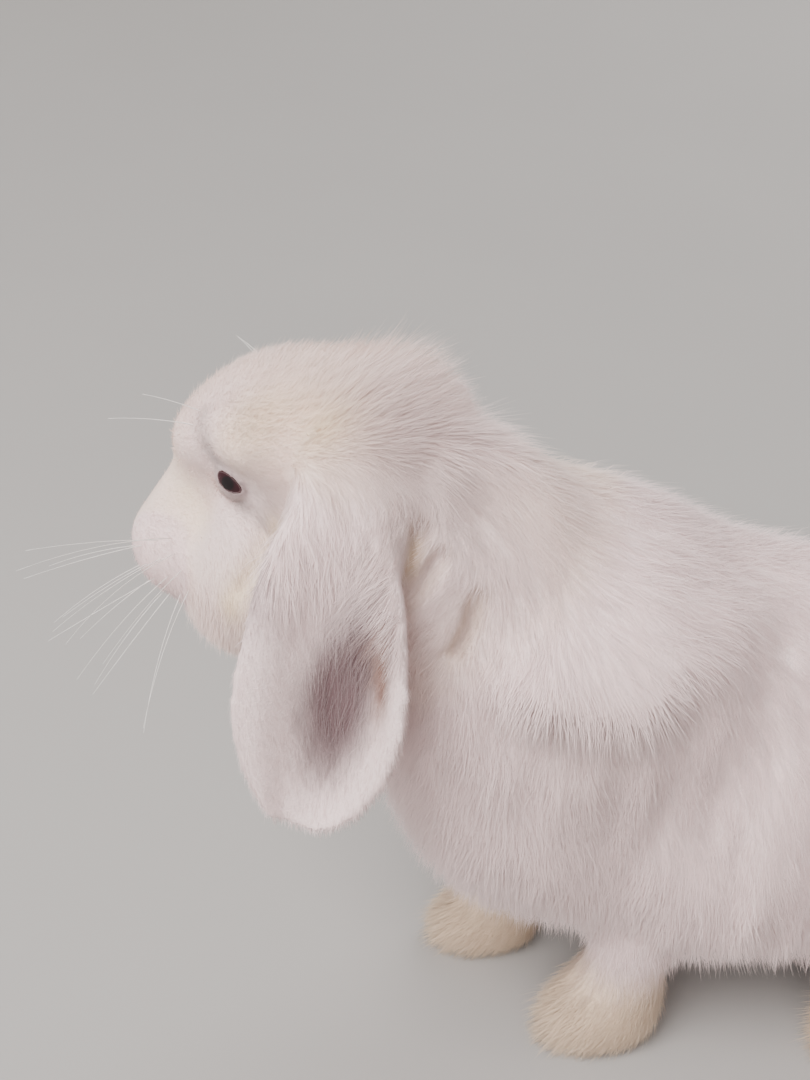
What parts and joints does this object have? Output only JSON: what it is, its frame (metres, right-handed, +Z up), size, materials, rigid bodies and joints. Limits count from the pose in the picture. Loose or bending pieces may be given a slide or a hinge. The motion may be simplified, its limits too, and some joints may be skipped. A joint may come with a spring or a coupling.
{
  "type": "lop rabbit",
  "caption": "Life-size still model of a white lop-eared rabbit with a fluffy coat, propped on its forelegs with its head turned to its right.",
  "frame": {"origin": "the middle of the floor under the box that the whole rabbit fills, whiskers included", "axes": "+Z up; the body faces -Y, with the head turned towards -X; the rabbit's left side is +X"},
  "size_m": [0.1634, 0.3696, 0.2187],
  "materials": {
    "coat": "soft white fur with a faint warm tint",
    "foot_coat": "short plush cream fur",
    "ear": "short white fur, thin over mauve-grey skin inside",
    "nose_skin": "soft matt pink skin",
    "eye": "wet dark maroon"
  },
  "bodies": {
    "root": {"head": "coat", "nose": "nose_skin", "whisker_pad_left": "coat", "whisker_pad_right": "coat", "eye_left": "eye", "eye_right": "eye", "ear_left": "ear", "ear_right": "ear", "neck": "coat", "trunk": "coat", "tail": "coat", "foreleg_left": "coat", "foreleg_right": "coat", "forefoot_left": "foot_coat", "forefoot_right": "foot_coat", "thigh_left": "coat", "thigh_right": "coat", "hind_foot_left": "foot_coat", "hind_foot_right": "foot_coat"}
  },
  "joints": []
}
